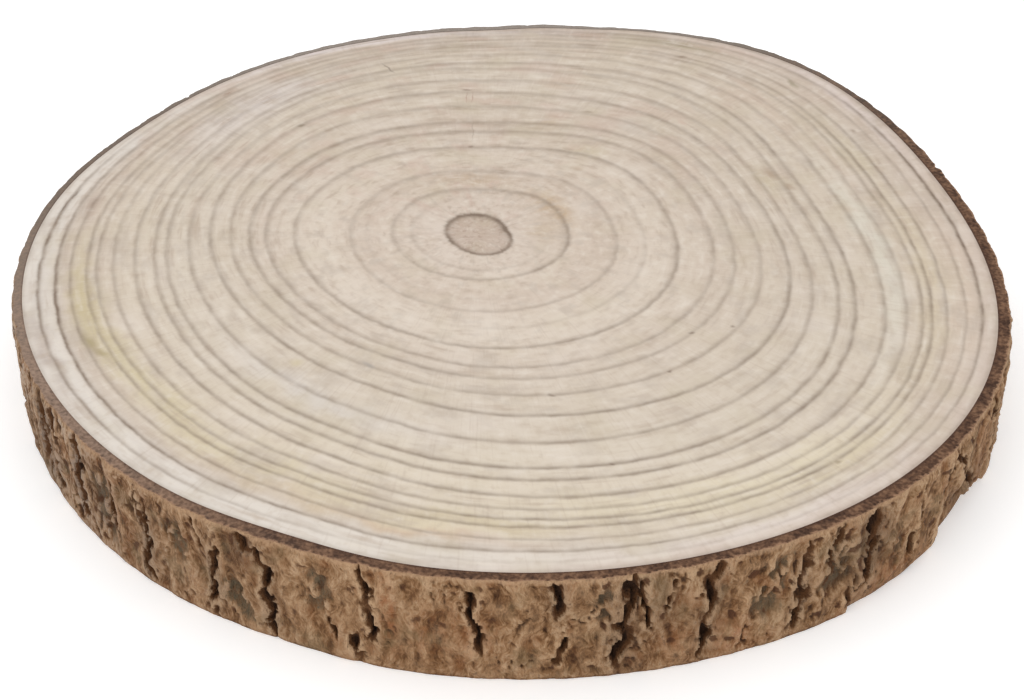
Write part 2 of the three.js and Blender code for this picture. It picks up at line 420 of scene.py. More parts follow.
def cut_depth(cut, astray, slim, sharp):
    """How deep one fissure or scar is over the whole side. A sharper one has steeper walls."""
    at, start, end, lean, width, depth = cut
    wave = FISSURE_WANDER * np.sin(2 * math.pi * level / FISSURE_WANDER_LENGTH + at)
    aslant = lean * (level - (start + end) / 2) / (end - start)
    across = np.abs(turn_between(facing, at) * MM_PER_DEGREE + aslant + wave + astray)
    ends = rise(level, start - FISSURE_END, start + FISSURE_END)
    ends = ends * (1 - rise(level, end - FISSURE_END, end + FISSURE_END))
    return depth * ends * np.exp(-0.5 * (2 * across / (slim * width)) ** sharp)


def deepest_of(cuts, astray, slim, sharp):
    """How deep the deepest of all the fissures or scars is at each place of the side."""
    return np.max([cut_depth(cut, astray, slim, sharp) for cut in cuts], axis=0)


def break_depth(start, end, top, bevel, depth):
    """How deep one break of the lower corner is over the whole side."""
    inside = (turn_between(facing, start) >= 0) & (turn_between(facing, end) < 0)
    return inside * depth * (1 - rise(level, top - bevel, top))


def stain_and_shade(spots):
    """How strongly each place of the side is marked by the spots of a table: rusty stains, and dark
    patches of painted shade.
    """
    shares = [
        strength * hump(turn_between(facing, at), wide) * hump(level - at_level, tall)
        for at, at_level, wide, tall, strength in spots
    ]
    return np.max(shares, axis=0)


def blurred(values, reach):
    """The side's values, each averaged with those of so many columns and rows round it."""
    grid = values.reshape(SIDE_ROWS + 1, COLUMNS)
    grid = np.mean([np.roll(grid, step, axis=1) for step in range(-reach, reach + 1)], axis=0)
    grid = np.pad(grid, ((reach, reach), (0, 0)), mode="edge")
    return np.mean([grid[i:i + SIDE_ROWS + 1] for i in range(2 * reach + 1)], axis=0).ravel()


# Fissures, with their walls astray, crumbled and bridged, the lips beside them, and the scars
astray = rough("broad jag") + rough("jag") + rough("small jag")
slim = FISSURE_SLIM * (1 + rough("uneven width")) * (1 + swell(facing, WIDER_FISSURES))
crumbs = rough("crumb") + rough("small crumb")
fissures = FRONT_FISSURES + fissures_round_the_back()
fissure = deepest_of(fissures, astray, slim, FISSURE_SHARP)
fissure = fissure * rise(fissure / DEEPEST + FISSURE_CRUMBLED * crumbs, *WALL)
fissure = fissure * rise(rough("bridge"), *BRIDGE)
lips = rise(deepest_of(fissures, astray, LIPS_APART * slim, LIP_SHARP), *LIP)
lips = lips * (1 - rise(fissure, *LIP_CUT))
scar = deepest_of(SCARS, SCAR_ASTRAY * astray, 1, SCAR_SHARP)
scar = scar * rise(crumbs + rough("flake"), *FLAKED)
broken = np.max([break_depth(*gap) for gap in BREAKS], axis=0)

# Plates, thin ridges that sway up the side, cracks in patches and beside the fissures, pits, lumps
wander = np.sin(2 * math.pi * level / PLATE_WANDER_LENGTH + PLATE_WANDER_WAVES * np.radians(facing))
plates = PLATE_RELIEF * np.cos(PLATES * np.radians(facing) + PLATE_WANDER * wander)
swayed = np.column_stack((BARK_RADIUS * around(facing + rough("sway")), level))
ridge = blurred(crest(rough("ridge", swayed) + rough("small ridge", swayed), RIDGE_WIDTH), RIDGE_BLUR)
ridge = ridge * (1 - rise(fissure, *RIDGE_CUT))
beside = rise(blurred(fissure, BESIDE_BLUR), *BESIDE)
calm = 1 - swell(facing, FEWER_CRACKS)
cracked = np.maximum(rise(rough("cracked patch"), *CRACKED), beside)
crack = crest(rough("crack") + rough("small crack"), CRACK_WIDTH) * cracked * calm
pit = rise(rough("pit"), *PITTED) * calm
lumps = rough("lump") + rough("small lump") + rough("grit") + rough("fibre", swayed)
lumps = lumps + beside * rough("loose lump")

# All together: what is raised and sunk, less towards both corners, and the corners' wear
nearest = np.minimum(level, THICKNESS - level)
kept = np.minimum(rise(nearest, *CORNER_RUBBED), rise(level, *LOWER_RUBBED))
kept = kept * (1 - swell(facing, SMOOTHER_BARK))
wear = CORNER_WEAR * (1 - rise(nearest, 0, CORNER_HEIGHT))
raised = plates + lumps + LIP_HEIGHT * lips + RIDGE_HEIGHT * ridge
sunken = np.maximum(np.maximum(fissure, scar), CRACK_DEPTH * crack) + PIT_DEPTH * pit
bark = BARK_THICKNESS + swell(facing, BARK_SWELLS) + kept * raised
bark = np.maximum(BARK_LEAST_LEFT, bark - np.maximum(kept * sunken, broken) - wear)


def ring_share(share, direction):
    """Where the ring of a share truly runs in a direction from the pith."""
    stages = np.array(GROWTH)
    off = 0
    for order in (1, 2, 3):
        size = stages[:, 2 * order - 1]
        phase = np.radians(stages[:, 2 * order]) * order
        along = np.interp(share, stages[:, 0], size * np.cos(phase))
        across = np.interp(share, stages[:, 0], size * np.sin(phase))
        turn = np.radians(direction) * order
        off = off + along * np.cos(turn) + across * np.sin(turn)
    return share + off


def edge_from_pith(towards, rounds=12):
    """How far the wood reaches from the pith in a direction, found in rounds of drawing nearer."""
    reach = np.full(len(towards), WOOD_RADIUS)
    for _ in range(rounds):
        place = PITH + reach[:, None] * around(towards) - MIDDLE
        bearing = np.degrees(np.arctan2(place[:, 1], place[:, 0]))
        reach = reach + WOOD_RADIUS + swell(bearing, TRUNK_SWELLS) - np.hypot(*place.T)
    return reach


# Every point of the drum goes to its place: the wood along its rings, the bark to its relief
mesh = slice_piece.data
drum = np.zeros(len(mesh.vertices) * 3)
mesh.vertices.foreach_get("co", drum)
drum = drum.reshape(-1, 3) / MM
drum_radius = np.hypot(drum[:, 0], drum[:, 1])
direction = np.degrees(np.arctan2(drum[:, 1], drum[:, 0])) % 360
drum_height = drum[:, 2]
share = np.minimum(drum_radius / WOOD_RADIUS, 1)
across = np.clip((drum_radius - WOOD_RADIUS) / BARK_THICKNESS, 0, 1)
column = np.rint(direction * COLUMNS / 360).astype(int) % COLUMNS
on_skin = np.rint(drum_height / THICKNESS * SIDE_ROWS).astype(int) * COLUMNS + column

wood_edge = WOOD_RADIUS + swell(direction, TRUNK_SWELLS)
outline = MIDDLE + wood_edge[:, None] * around(direction)
towards = np.degrees(np.arctan2(*(outline - PITH).T[::-1]))
reach = edge_from_pith(towards)
grown = PITH + (ring_share(share, towards) * reach)[:, None] * around(towards)
grown[share == 0] = PITH
sapwood = swell(direction, SAPWOOD_SWELLS)
outside = outline + (sapwood + across * (bark[on_skin] - sapwood))[:, None] * around(direction)
inside_wood = drum_radius < WOOD_RADIUS - NEAR
flat = np.where(inside_wood[:, None], grown, outside)
mesh.vertices.foreach_set("co", (np.column_stack((flat, drum_height)) * MM).ravel())
mesh.update()


def note(name, values, domain="POINT"):
    """Keeps one number or three at each point, or corner of a face, for the finishes to read."""
    kind = "FLOAT" if values.ndim == 1 else "FLOAT_VECTOR"
    field = "value" if values.ndim == 1 else "vector"
    mesh.attributes.new(name, kind, domain).data.foreach_set(field, values.ravel())


# What the bark's finish reads: its forms, its stains and where it is unlike the rest, and where shade is
# painted in: in its hollows, round its fissures and scars, and in dark patches over the fissures
LIPS_SEEN = 0.5
SCAR_SHADE = 1.2
bark_notes = {
    "fissure": kept * fissure / DEEPEST,
    "hollow": blurred(bark, HOLLOW_SHADE_BLUR) - bark,
    # Painted shade: how much lower the bark lies than the bark round it
    "pit": kept * pit,
    "scar": kept * scar,
    "crack": kept * crack,
    "ridge": LIPS_SEEN * lips + ridge,
    # Painted shade spreading round the fissures and scars
    "gloom": blurred(np.maximum(fissure, SCAR_SHADE * scar) / DEEPEST, FISSURE_SHADE_BLUR),
    "rust": stain_and_shade(RUSTY),
    "dusk": stain_and_shade(GROOVE_SHADES),
    "below top": THICKNESS - level,
    "grey bark": swell(facing, GREY_BARK),
    "even bark": swell(facing, EVEN_BARK),
}
for name, values in bark_notes.items():
    note(name, np.where(across > 0, values[on_skin], 0))

# What the sawn faces' finishes read: how far across the bark's rim a place lies, how far it is in
# each of the ways from the pith, and its place on a tube, round it by direction and along it by
# share. A pattern on the tube follows the rings
TUBE_RADIUS = 150
note("rim across", across)
note("grey rim", np.minimum(1, swell(direction, GREY_RIM)))
note("pale rim", swell(direction, PALE_RIM))
for name, way in WAYS.items():
    note(name, swell(towards, (way,)))
note("ringwise", MM * np.column_stack((TUBE_RADIUS * around(towards), WOOD_RADIUS * share)))

# Each corner of a mesh face lies in one year, so far past the last year's line and so far short
# of its own, both in mm on the way out from the pith
corners = np.zeros(len(mesh.loops), int)
mesh.loops.foreach_get("vertex_index", corners)
sides = np.zeros(len(mesh.polygons), int)
mesh.polygons.foreach_get("loop_total", sides)
starts = np.concatenate(([0], np.cumsum(sides)[:-1]))
lines = np.array([0.0] + [ring[0] for ring in RINGS])
face_share = np.add.reduceat(share[corners], starts) / sides
year = np.clip(np.searchsorted(lines, face_share) - 1, 0, len(RINGS) - 1)
year = np.repeat(year, sides)
bearing = towards[corners]
own = ring_share(share[corners], bearing)
since_line = (own - ring_share(lines[year], bearing)) * reach[corners]
to_line = (ring_share(lines[year + 1], bearing) - own) * reach[corners]
darkness = np.array([(0, 0, 0)] + [ring[1:] for ring in RINGS], float)


def line_darkness(line):
    """How much darker than the wood a ring's line is, in steps of 255."""
    mean, swing, strongest = darkness[line].T
    dark = mean + swing * np.cos(np.radians(bearing - strongest))
    for ring, *darker in DARKER_LINES:
        dark = dark + swell(bearing, (darker,)) * (lines[line] == ring)
    return np.maximum(0, dark)


note("since line", since_line, "CORNER")
note("to line", to_line, "CORNER")
note("last line darkness", line_darkness(year), "CORNER")
note("own line darkness", line_darkness(year + 1), "CORNER")
note("growth", share[corners], "CORNER")

# Three finishes: sawn wood, sawn bark and the bark's outside
face_radius = np.add.reduceat(drum_radius[corners], starts) / sides
on_side = face_radius > BARK_RADIUS - NEAR
on_rim = (face_radius > WOOD_RADIUS + NEAR) & ~on_side
finish = np.select((on_side, on_rim), (2, 1), 0)
mesh.polygons.foreach_set("material_index", finish.astype(np.int32))

# Its map: the upper face large, the lower face small beside it, and the side unrolled in strips
STRIPS = 3
STRIP_TALL = 0.11
STRIP_STEP = 0.114
MARGIN = 0.004
UPPER_AT = (0.329, 0.671)
UPPER_SIZE = 0.65
LOWER_AT = (0.828, 0.828)
LOWER_SIZE = 0.32
first = np.minimum.reduceat(column[corners], starts)
wraps = np.maximum.reduceat(column[corners], starts) - first > COLUMNS / 2
strip = np.repeat(np.where(wraps, COLUMNS - 1, first) // (COLUMNS // STRIPS), sides)
unrolled = column[corners] + COLUMNS * (np.repeat(wraps, sides) & (column[corners] == 0))
side_u = MARGIN + (unrolled * STRIPS / COLUMNS - strip) * (1 - 2 * MARGIN)
side_v = MARGIN + strip * STRIP_STEP + drum_height[corners] / THICKNESS * STRIP_TALL
across_disc = flat[corners] / (2 * BARK_RADIUS)
upper = UPPER_AT + UPPER_SIZE * across_disc
lower = LOWER_AT + LOWER_SIZE * across_disc * (-1, 1)
discs = np.where((drum_height[corners] > THICKNESS / 2)[:, None], upper, lower)
spread_out = np.where(np.repeat(on_side, sides)[:, None], np.column_stack((side_u, side_v)), discs)
mesh.uv_layers.new(name="OFBake").data.foreach_set("uv", spread_out.ravel())


def paint(red, green, blue):
    """A colour as it is seen, in steps of 255, as the shaders want it."""
    return tuple(((part / 255 + 0.055) / 1.055) ** 2.4 for part in (red, green, blue)) + (1,)


class Shade:
    """A socket of a finish's nodes. Sums on it add Math nodes, and add makes any other node."""

    MIX_FACTOR = 0
    MIX_UNDER = 6
    MIX_OVER = 7
    MIX_RESULT = 2

    def __init__(self, tree, socket=None):
        self.tree = tree
        self.socket = socket

    def add(self, kind, settings=None, inputs=None, output=0):
        node = self.tree.nodes.new(kind)
        for name, value in (settings or {}).items():
            if name == "stops":
                self.set_stops(node.color_ramp.elements, value)
            else:
                setattr(node, name, value)
        for name, value in (inputs or {}).items():
            if isinstance(value, Shade):
                self.tree.links.new(value.socket, node.inputs[name])
            else:
                node.inputs[name].default_value = value
        return Shade(self.tree, node.outputs[output])

    @staticmethod
    def set_stops(elements, stops):
        while len(elements) < len(stops):
            elements.new(1)
        for element, (place, colour) in zip(elements, stops):
            element.position = place
            element.color = paint(*colour)

    def maths(self, operation, *values):
        return self.add("ShaderNodeMath", {"operation": operation}, dict(enumerate(values)))

    def __add__(self, other):
        return self.maths("ADD", self, other)

    def __radd__(self, other):
        return self.maths("ADD", other, self)

    def __sub__(self, other):
        return self.maths("SUBTRACT", self, other)

    def __rsub__(self, other):
        return self.maths("SUBTRACT", other, self)

    def __mul__(self, other):
        return self.maths("MULTIPLY", self, other)

    def __rmul__(self, other):
        return self.maths("MULTIPLY", other, self)

    def __truediv__(self, other):
        return self.maths("DIVIDE", self, other)

    def __rtruediv__(self, other):
        return self.maths("DIVIDE", other, self)

    def above(self, least):
        return self.maths("MAXIMUM", self, least)

    def fading(self):
        """1 at nought, and dying away on both sides."""
        return self.maths("EXPONENT", self * self * -1)

    def between(self, start, end, most=1):
        """0 at one value and 1, or another most, at another, with a smooth way between."""
        return self.add(
            "ShaderNodeMapRange", {"interpolation_type": "SMOOTHSTEP"},
            {"Value": self, "From Min": start, "From Max": end, "To Max": most},
        )

    def ramp(self, stops):
        """Colours by value, from one stop's value and colour to the next."""
        return self.add("ShaderNodeValToRGB", {"stops": stops}, {"Fac": self})

    def mix(self, strength, colour):
        """This colour with another one laid over it."""
        inputs = {self.MIX_FACTOR: strength, self.MIX_UNDER: self, self.MIX_OVER: paint(*colour)}
        return self.add("ShaderNodeMix", {"data_type": "RGBA"}, inputs, self.MIX_RESULT)

    def strewn(self, *layers):
        """This colour with others laid over it in turn. Each has a pattern, the values where it
        begins and is whole, a strength and a colour."""
        tone = self
        for pattern, start, end, strength, colour in layers:
            tone = tone.mix(pattern.between(start, end) * strength, colour)
        return tone

    def attribute(self, name, output="Fac"):
        return self.add("ShaderNodeAttribute", {"attribute_name": name}, {}, output)

    def specks(self, size, detail=2, stretch=(1, 1, 1)):
        """Chance about nought over this place, its humps about one size across, in mm."""
        scale = [1 / (size * MM * s) for s in stretch]
        place = self.add("ShaderNodeMapping", {}, {"Vector": self, "Scale": scale})
        chance = self.add("ShaderNodeTexNoise", {}, {"Vector": place, "Scale": 1, "Detail": detail})
        return chance - 0.5

    def astray(self, size, reach):
        """This place, moved by chance as far as a reach, in mm."""
        place = self.add("ShaderNodeMapping", {}, {"Vector": self, "Scale": [1 / (size * MM)] * 3})
        inputs = {"Vector": place, "Scale": 1}
        chance = self.add("ShaderNodeTexNoise", {"normalize": False}, inputs, "Color")
        inputs = {0: chance, 1: [reach * MM] * 3, 2: self}
        return self.add("ShaderNodeVectorMath", {"operation": "MULTIPLY_ADD"}, inputs)

    def oval(self, centre, size, strength, turned=0):
        """A strength at a place, fading to 0 at the edge of an oval round it."""
        shape = {
            "Vector": self, "Location": Vector(centre) * MM,
            "Rotation": (0, 0, math.radians(turned)), "Scale": Vector(size) * MM,
        }
        place = self.add("ShaderNodeMapping", {"vector_type": "TEXTURE"}, shape)
        off = place.add("ShaderNodeVectorMath", {"operation": "LENGTH"}, {0: place}, "Value")
        return off.between(1, 0, strength)


def new_finish(name):
    """A new finish on the slice: its nodes' first Shade and its surface shader."""
    material = bpy.data.materials.new(name)
    material.use_nodes = True
    mesh.materials.append(material)
    return Shade(material.node_tree), material.node_tree.nodes["Principled BSDF"]


def finish_with(surface, colour, roughness, sheen, lift, lift_size):
    """Colour, roughness, a dull sheen and a fine bump, its height in mm."""
    inputs = {"Strength": 1, "Distance": lift_size * MM, "Height": lift}
    bump = colour.add("ShaderNodeBump", {}, inputs)
    links = colour.tree.links
    links.new(colour.socket, surface.inputs["Base Color"])
    links.new(bump.socket, surface.inputs["Normal"])
    surface.inputs["Roughness"].default_value = roughness
    surface.inputs["Specular IOR Level"].default_value = sheen


# Sawn wood: pale and a little pinkish, with a fine darker line where each year ends. The line
# fades over the late wood inside it and the early wood outside it, crisply with a softer tail
LATE_WOOD = 0.98
EARLY_WOOD = 0.75
WIDER_AT_THE_BACK = 0.6
NARROWER_OUTSIDE = 0.25
OUTSIDE = (0.78, 0.95)
CRISP = 0.88
SOFT = 0.14
SOFT_TAIL = 2.8
FULL_DARK = 61
LINE_SWAY = 1.1
LINE_FRAY = 0.5
LINE_BREAKS = 1.6
LINE_COLOUR = (124, 105, 88)

# The wood's colours, by share of the way from the pith to the bark, and those laid over them
WOOD_TONES = (
    (0.0, (190, 170, 154)), (0.071, (194, 175, 160)), (0.073, (210, 194, 180)),
    (0.20, (210, 194, 178)), (0.25, (206, 189, 173)), (0.34, (216, 202, 186)),
    (0.46, (209, 194, 178)), (0.57, (209, 195, 178)), (0.70, (211, 198, 181)),
    (0.82, (211, 197, 179)), (0.90, (206, 191, 174)), (0.94, (204, 189, 174)),
    (1.0, (210, 193, 180)),
)
PALE_SAPWOOD = (219, 210, 200)
PALE_FROM = (0.93, 0.965)
PALE_ON_THE_LEFT = (0.2, 0.6)
# Painted shade: the face turns browner and darker towards the back and the right, where less light falls
# on it
BROWN_SHADE = (178, 156, 134)
SHADE_AT_THE_BACK = 0.176
SHADE_ON_THE_RIGHT = 0.132
DARK_STREAK = (176, 156, 138)
PALE_STREAK = (226, 215, 201)
GREY_PATCH = (186, 172, 158)
PINK_BLOTCH = (196, 166, 150)
DARK_FLECK = (184, 166, 146)
PALE_FLECK = (226, 216, 203)
STRAW_CLOUD = (196, 182, 156)
PALE_CLOUD = (224, 212, 200)
PALE_RAY = (226, 216, 204)
DARK_RAY = (178, 158, 140)
PITH_GRAIN = (166, 142, 126)
PITH_EDGE = (0.073, 0.069)

# Tints along the rings: direction from the pith, share, how far along and across, strength, colour
TINTS = (
    (30, 0.19, 110, 7, 0.65, (182, 152, 114)), (95, 0.235, 90, 7, 0.5, (180, 153, 122)),
    (92, 0.5, 90, 6, 0.3, (176, 154, 134)), (345, 0.66, 60, 9, 0.3, (180, 160, 138)),
    (40, 0.68, 60, 8, 0.15, (182, 158, 136)), (268, 0.79, 150, 24, 0.45, (225, 212, 191)),
    (355, 0.82, 110, 5, 0.6, (216, 212, 198)), (300, 0.86, 110, 13, 0.6, (228, 216, 186)),
    (238, 0.88, 120, 10, 0.5, (213, 199, 160)), (350, 0.895, 100, 9, 0.5, (210, 194, 162)),
    (20, 0.89, 50, 9, 0.4, (200, 188, 158)), (270, 0.96, 110, 7, 0.7, (222, 212, 200)),
    (19, 0.68, 26, 6, 0.5, (188, 170, 138)), (55, 0.42, 28, 8, 0.45, (192, 178, 142)),
    (72, 0.505, 16, 5, 0.4, (186, 164, 130)), (64, 0.94, 34, 9, 0.4, (190, 178, 150)),
    (150, 0.97, 60, 5, 0.5, (220, 212, 204)), (295, 0.93, 60, 7, 0.4, (218, 206, 182)),
    (240, 0.68, 90, 6, 0.5, (212, 206, 202)), (198, 0.9, 62, 6, 0.7, (192, 176, 130)),
    (214, 0.875, 70, 6, 0.5, (202, 188, 144)), (250, 0.92, 60, 5, 0.5, (204, 184, 154)),
    (270, 0.885, 40, 5, 0.5, (206, 190, 150)), (312, 0.9, 45, 8, 0.4, (214, 200, 164)),
    (345, 0.95, 90, 6, 0.4, (212, 190, 168)), (134, 0.81, 80, 20, 0.6, (218, 209, 207)),
    (60, 0.955, 28, 5, 0.7, (160, 146, 116)), (134, 0.93, 15, 4, 0.6, (168, 142, 122)),
    (172, 0.925, 13, 5, 0.6, (160, 136, 122)), (178, 0.65, 15, 5, 0.4, (172, 150, 134)),
    (35, 0.49, 30, 5, 0.3, (180, 158, 130)), (85, 0.975, 60, 4, 0.4, (184, 172, 170)),
    (70, 0.955, 36, 5, 0.4, (148, 132, 116)), (112, 0.987, 90, 5, 0.9, (226, 215, 214)),
    (206, 0.985, 50, 4, 0.7, (172, 156, 146)), (264, 0.922, 40, 3, 0.4, (206, 172, 138)),
    (300, 0.975, 70, 4, 0.6, (228, 216, 208)), (35, 0.985, 70, 4, 0.5, (222, 208, 206)),
    (5, 0.14, 70, 7, 0.55, (188, 166, 138)), (288, 0.165, 80, 5, 0.5, (226, 213, 198)),
    (264, 0.908, 50, 3, 0.5, (224, 210, 178)), (312, 0.94, 40, 4, 0.5, (224, 212, 192)),
    (192, 0.95, 40, 5, 0.4, (190, 176, 160)),
)

# Marks of the upper face: place, length and width, direction, strength, colour
MARKS = (
    (57, -47, 1.5, 1.1, 0, 0.7, (120, 100, 84)), (70, -44, 1.4, 1.1, 0, 0.6, (120, 100, 84)),
    (49, -67, 1.4, 1.0, 20, 0.7, (112, 92, 76)), (30, -111, 1.6, 1.0, 0, 0.7, (104, 84, 72)),
    (13, -79, 1.6, 1.0, 0, 0.6, (120, 100, 84)), (94, -110, 2.0, 1.2, 30, 0.5, (126, 104, 76)),
    (-13, 65, 1.4, 1.1, 0, 0.6, (126, 104, 88)), (-75, 80, 2.0, 1.5, 30, 0.6, (118, 104, 78)),
    (29, 90, 3.0, 1.5, -12, 0.5, (140, 118, 98)), (124, 76, 2.4, 1.4, 120, 0.5, (140, 118, 98)),
    (91, 47, 7.0, 3.5, 118, 0.6, (158, 130, 106)), (97, 38, 4.0, 2.5, 118, 0.5, (158, 130, 106)),
    (24, 50, 3.5, 3.0, 0, 0.4, (176, 146, 118)), (63, 82, 4.0, 2.0, 130, 0.3, (196, 156, 138)),
    (106, 111, 6.0, 1.8, 116, 0.6, (138, 126, 98)), (66, 132, 4.0, 1.6, 0, 0.6, (136, 114, 92)),
    (-129, -52, 9.0, 3.0, 122, 0.6, (150, 134, 84)), (-124, -58, 5.0, 2.4, 140, 0.5, (150, 134, 84)),
    (-64, -63, 3.0, 3.0, 0, 0.4, (190, 172, 120)), (-42, -64, 4.0, 1.3, -35, 0.4, (150, 148, 148)),
    (-45.5, 123, 6.5, 0.7, 122, 0.7, (128, 112, 98)), (-15.6, 100.5, 6.0, 0.4, 90, 0.6, (168, 130, 112)),
    (-13.4, 100.5, 6.0, 0.4, 90, 0.6, (168, 130, 112)), (-15.5, 106, 2.6, 0.6, 0, 0.7, (120, 100, 88)),
    (-12.8, 76, 11.0, 0.4, 90, 0.5, (160, 140, 124)), (-150.5, 25, 6.0, 0.6, 78, 0.7, (84, 72, 64)),
    (-104, 103, 4.0, 1.8, 45, 0.5, (140, 110, 92)), (-148, 33, 5.0, 0.6, 72, 0.6, (96, 84, 76)),
)

wood, surface = new_finish("Sawn wood")
place = wood.add("ShaderNodeTexCoord", {}, {}, "Object")
ringwise = wood.attribute("ringwise", "Vector")
growth = wood.attribute("growth")
front_left = wood.attribute("front left")
back = wood.attribute("back")
right = wood.attribute("right")
stray = ringwise.specks(10) * LINE_SWAY + place.specks(2) * LINE_FRAY
widening = (back * WIDER_AT_THE_BACK + 1) * (1 - growth.between(*OUTSIDE) * NARROWER_OUTSIDE)
late_width = widening * LATE_WOOD
early_width = widening * EARLY_WOOD


def ring_line(outward, darkness):
    """How dark a year's end is, from how far outward of its line a place lies."""
    inside = (outward * -1).above(0)
    outside = outward.above(0) / early_width
    crisp = (inside / late_width + outside).fading()
    soft = (inside / (late_width * SOFT_TAIL) + outside).fading()
    return (crisp * CRISP + soft * SOFT) * darkness / FULL_DARK


last_line = ring_line(wood.attribute("since line") + stray, wood.attribute("last line darkness"))
own_line = ring_line(stray - wood.attribute("to line"), wood.attribute("own line darkness"))
late = (last_line + own_line) * (1 + place.specks(7) * LINE_BREAKS)

tone = growth.ramp(WOOD_TONES)
tone = tone.mix(growth.between(*PALE_FROM) * front_left.between(*PALE_ON_THE_LEFT), PALE_SAPWOOD)
# Painted shade, browner and darker towards the back and the right
painted_shade = back * SHADE_AT_THE_BACK + right * SHADE_ON_THE_RIGHT
tone = tone.mix(painted_shade * (growth.between(0, 0.5) * 0.3 + 0.7), BROWN_SHADE)
loose = ringwise.astray(14, 3)
for bearing, ring, long, wide, strength, colour in TINTS:
    centre = (*TUBE_RADIUS * around(bearing), WOOD_RADIUS * ring)
    tone = tone.mix(loose.oval(centre, (long, long, wide), strength), colour)

# Chance patterns along the rings, over the face and across the rings, most of them in a darker
# colour one way from nought and in a paler one the other way
streaks = ringwise.specks(2.2, detail=3, stretch=(8, 8, 1))
patches = ringwise.specks(9, detail=3, stretch=(2, 2, 0.7))
blotches = ringwise.specks(14, stretch=(2, 2, 0.7))
flecks = place.specks(3.4, detail=3)
clouds = place.specks(17)
rays = ringwise.specks(1.1, detail=1, stretch=(1, 1, 9))
pith = growth.between(*PITH_EDGE)
tone = tone.strewn(
    (streaks, 0, 0.3, back * 0.35 + 0.5, DARK_STREAK),
    (streaks, 0, -0.3, 0.5, PALE_STREAK),
    (patches, 0, 0.22, 0.5, GREY_PATCH),
    (blotches, 0.02, 0.2, back * 0.4, PINK_BLOTCH),
    (flecks, 0, 0.28, 0.36, DARK_FLECK),
    (flecks, 0, -0.28, 0.34, PALE_FLECK),
    (clouds, 0, 0.3, 0.4, STRAW_CLOUD),
    (clouds, 0, -0.3, 0.4, PALE_CLOUD),
    (rays, 0.05, 0.3, 0.15, PALE_RAY),
    (rays, -0.05, -0.3, 0.2, DARK_RAY),
    (place.specks(1.8, detail=3), 0, 0.2, pith * 0.6, PITH_GRAIN),
)
shifting = place.astray(4, 0.7)
for x, y, long, wide, turned, strength, colour in MARKS:
    mark = shifting.oval((x, y, THICKNESS), (long, wide, THICKNESS), strength, turned)
    tone = tone.mix(mark, colour)
tone = tone.mix(late, LINE_COLOUR)
grain = place.specks(0.8, detail=3)
finish_with(surface, tone, roughness=0.62, sheen=0.5, lift=grain, lift_size=0.05)

# Sawn bark: dark reddish brown and crumbly, with a paler corky skin along its outer corner. It has
# weathered grey at the back and the left, and pale in front on the left
RIM_TONES = ((0.36, (62, 41, 30)), (0.5, (94, 67, 50)), (0.66, (128, 96, 73)))
GREY_BACK = (126, 115, 105)
PALE_BACK = (160, 150, 141)
PALE_FRONT = (158, 134, 117)
INNER_EDGE = (70, 46, 36)
CORKY_SKIN = (166, 130, 102)

rim, surface = new_finish("Sawn bark")
place = rim.add("ShaderNodeTexCoord", {}, {}, "Object")
across_rim = rim.attribute("rim across")
grey = rim.attribute("grey rim")
pale = rim.attribute("pale rim")
crumbs = place.specks(1.2, detail=3)
tone = (crumbs * 0.6 + place.specks(5) * 0.5 + 0.5).ramp(RIM_TONES)
tone = tone.mix(grey * 0.9, GREY_BACK)
tone = tone.mix(rim.attribute("back").between(0.6, 0.95) * (crumbs + 0.55), PALE_BACK)
tone = tone.mix(pale * (crumbs * 1.5 + 0.6), PALE_FRONT)
tone = tone.mix(across_rim.between(0.24, 0.08) * (1 - pale * 0.6) * 0.6, INNER_EDGE)
tone = tone.mix((across_rim + crumbs * 0.6 - grey * 0.5).between(0.8, 1) * 0.6, CORKY_SKIN)
finish_with(surface, tone, roughness=0.85, sheen=0.2, lift=crumbs, lift_size=0.4)

# Bark: tan and grey-brown corky plates with paler ridges, dark fissures and small rusty pits. Shade is
# painted in too: in its hollows, round its fissures and scars, in dark patches over the fissures, and
# over the darker inner bark of its fissures, cracks and pits, most where deepest. It is greyer and more
# patchy on the left, and most even in front
CORK_TONES = (
    (0.15, (66, 39, 18)), (0.36, (104, 72, 44)), (0.5, (132, 97, 65)),
    (0.64, (153, 120, 88)), (0.84, (180, 148, 116)),
)
OLIVE_PATCH = (106, 92, 66)
RED_PATCH = (130, 84, 50)
# Painted shade round the fissures and scars
FISSURE_SHADE = (92, 62, 36)
GREY_CORK = (162, 146, 133)
PALE_RIDGE = (180, 146, 112)
FLAKED_SCAR = (86, 75, 58)
RUST = (146, 84, 46)
# Painted shade over the fissures
GROOVE_SHADE = (66, 48, 38)
# Pits and cracks: rusty and darker inner bark, with painted shade laid over it
PIT_FLOOR_AND_SHADE = (80, 50, 32)
CRACK_FLOOR_AND_SHADE = (66, 43, 27)
WORN_CORNER = (184, 150, 118)
# Fissures: the darker inner bark, with painted shade laid over it, darkest where deepest
FISSURE_WALL_AND_SHADE = (84, 53, 28)
FISSURE_FLOOR_AND_SHADE = (46, 26, 12)

cork, surface = new_finish("Bark")
place = cork.add("ShaderNodeTexCoord", {}, {}, "Object")
grey = cork.attribute("grey bark")

# Chance patterns from broad to fine, all drawn out upright, make the mottled cork. It is darkened with
# painted shade where the bark lies lower than the bark round it
broad = place.specks(8, stretch=(1, 1, 2.2))
middling = place.specks(2, stretch=(1, 1, 2))
fine = place.specks(0.75, stretch=(1, 1, 1.8))
fibres = place.astray(9, 4).specks(0.9, stretch=(1, 1, 4.5))
mottle = broad * 0.8 + middling * 0.5 + fine * 0.3 + fibres * 0.9 - cork.attribute("hollow") * 0.6
mottle = mottle * (1 + grey * 0.7 - cork.attribute("even bark") * 0.28) + 0.5 - grey * 0.06

